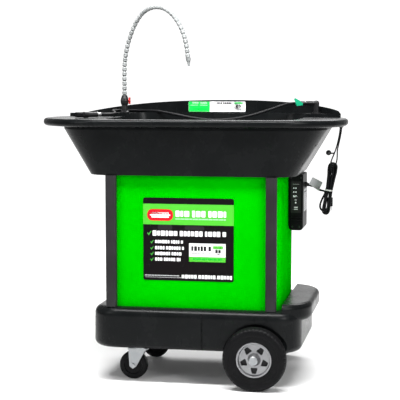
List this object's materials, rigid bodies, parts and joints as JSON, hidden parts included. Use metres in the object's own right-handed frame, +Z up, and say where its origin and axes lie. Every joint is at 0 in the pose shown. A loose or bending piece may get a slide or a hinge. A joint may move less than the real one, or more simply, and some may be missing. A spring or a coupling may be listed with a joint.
{
  "type": "mobile parts washer",
  "caption": "Wheeled parts washer: flared black sink with a jointed spigot and brush hose on a green tank, with corner posts, a rolling base and a side control box.",
  "frame": {"origin": "on the floor, under the middle of the whole object (without its power cord)", "axes": "+X along the length towards the control box and the big wheels, +Y from the front to the back, +Z up"},
  "size_m": [1.264, 0.756, 1.5361],
  "materials": {
    "black_plastic": "soft satin, moulded grain",
    "green_plastic": "satin",
    "post_coat": "satin powder coat",
    "tyre_rubber": "matte",
    "hub_metal": "cast, painted silver",
    "zinc_steel": "zinc plated",
    "caster_rubber": "matte",
    "label_vinyl": "printed vinyl",
    "splash_vinyl": "printed vinyl",
    "fitting_plastic": "satin",
    "bead_plastic": "satin",
    "red_plastic": "gloss",
    "handle_plastic": "gloss",
    "hose_rubber": "smooth",
    "bristle": "nylon bristles",
    "ferrule_metal": "polished",
    "box_plastic": "gloss",
    "lamp_lens": "clear lens",
    "grey_label": "printed foil",
    "cord_rubber": "satin",
    "tie_wire": "plastic-coated wire",
    "strap_elastic": "woven elastic",
    "filter_felt": "felt",
    "stainless": "brushed",
    "pump_plastic": "satin"
  },
  "bodies": {
    "washer": {"axle_brackets": "zinc_steel", "axle_caps": "zinc_steel", "base_chassis": "black_plastic", "box_label": "grey_label", "brush_bristles": "bristle", "brush_elbow": "fitting_plastic", "brush_ferrule": "ferrule_metal", "brush_handle": "fitting_plastic", "brush_hose": "hose_rubber", "brush_valve_body": "fitting_plastic", "chassis_bolts": "zinc_steel", "control_bracket": "zinc_steel", "control_cover": "box_plastic", "control_housing": "box_plastic", "control_panel": "box_plastic", "cord_gland": "fitting_plastic", "cord_hank": "cord_rubber", "cord_plug": "cord_rubber", "cord_tag": "grey_label", "cord_tie": "tie_wire", "cover_screws": "zinc_steel", "drain_fitting": "fitting_plastic", "feed_hoses": "hose_rubber", "filter_mat": "filter_felt", "filter_support_grid": "black_plastic", "front_caster_plate": "zinc_steel", "front_posts": "post_coat", "hang_strap": "strap_elastic", "heater": "stainless", "indicator_lamps": "lamp_lens", "power_cord": "cord_rubber", "pump": "pump_plastic", "rear_caster_plate": "zinc_steel", "rear_posts": "post_coat", "rim_eyelet": "fitting_plastic", "sink_basin": "black_plastic", "spigot_body": "fitting_plastic", "splash_label": "splash_vinyl", "strap_toggle": "fitting_plastic", "tank_label": "label_vinyl", "tank_shell": "green_plastic", "temperature_probe": "stainless", "wheel_axle": "zinc_steel"},
    "front_wheel": {"front_wheel_tyre": "tyre_rubber", "front_wheel_hub": "hub_metal"},
    "rear_wheel": {"rear_wheel_tyre": "tyre_rubber", "rear_wheel_hub": "hub_metal"},
    "front_caster": {"front_caster_fork": "zinc_steel", "front_caster_axle": "zinc_steel"},
    "rear_caster": {"rear_caster_fork": "zinc_steel", "rear_caster_axle": "zinc_steel"},
    "front_caster_roller": {"front_caster_wheel": "caster_rubber"},
    "rear_caster_roller": {"rear_caster_wheel": "caster_rubber"},
    "spigot_valve": {"spigot_knob": "red_plastic"},
    "gooseneck_lower": {"gooseneck_lower": "bead_plastic"},
    "gooseneck_middle": {"gooseneck_middle": "bead_plastic"},
    "gooseneck_upper": {"gooseneck_upper": "bead_plastic", "spray_nozzle": "bead_plastic"},
    "brush_valve": {"brush_valve_handle": "handle_plastic"},
    "work_surface": {"sink_false_bottom": "black_plastic"}
  },
  "joints": [
    {"name": "front_wheel_spin", "type": "hinge", "parent": "washer", "child": "front_wheel", "pos_m": [0.302, -0.337, 0.127], "axis": [0, 1, 0], "continuous": true},
    {"name": "rear_wheel_spin", "type": "hinge", "parent": "washer", "child": "rear_wheel", "pos_m": [0.302, 0.337, 0.127], "axis": [0, 1, 0], "continuous": true},
    {"name": "front_caster_swivel", "type": "hinge", "parent": "washer", "child": "front_caster", "pos_m": [-0.185, -0.207, 0.124], "axis": [0, 0, 1], "continuous": true},
    {"name": "rear_caster_swivel", "type": "hinge", "parent": "washer", "child": "rear_caster", "pos_m": [-0.185, 0.207, 0.124], "axis": [0, 0, 1], "continuous": true},
    {"name": "front_caster_roll", "type": "hinge", "parent": "front_caster", "child": "front_caster_roller", "pos_m": [-0.215, -0.207, 0.0575], "axis": [0, 1, 0], "continuous": true},
    {"name": "rear_caster_roll", "type": "hinge", "parent": "rear_caster", "child": "rear_caster_roller", "pos_m": [-0.215, 0.207, 0.0575], "axis": [0, 1, 0], "continuous": true},
    {"name": "spigot_valve_turn", "type": "hinge", "parent": "washer", "child": "spigot_valve", "pos_m": [-0.345, 0.225, 1.128], "axis": [1, 0, 0], "range_deg": [0, 90]},
    {"name": "gooseneck_turn", "type": "hinge", "parent": "washer", "child": "gooseneck_lower", "pos_m": [-0.357, 0.225, 1.16], "axis": [0, 0, 1], "range_deg": [-150, 150]},
    {"name": "gooseneck_lower_bend", "type": "hinge", "parent": "gooseneck_lower", "child": "gooseneck_middle", "pos_m": [-0.33958, 0.21428, 1.36616], "axis": [0.524, 0.8517, 0], "range_deg": [-15, 20]},
    {"name": "gooseneck_upper_bend", "type": "hinge", "parent": "gooseneck_middle", "child": "gooseneck_upper", "pos_m": [-0.14523, 0.09472, 1.51518], "axis": [0.524, 0.8517, 0], "range_deg": [-25, 25]},
    {"name": "brush_valve_turn", "type": "hinge", "parent": "washer", "child": "brush_valve", "pos_m": [0.419, 0.2, 1.12], "axis": [0, 1, 0], "range_deg": [0, 90]},
    {"name": "work_surface_lift", "type": "slide", "parent": "washer", "child": "work_surface", "axis": [0, 0, 1], "range_m": [0, 0.12]}
  ]
}
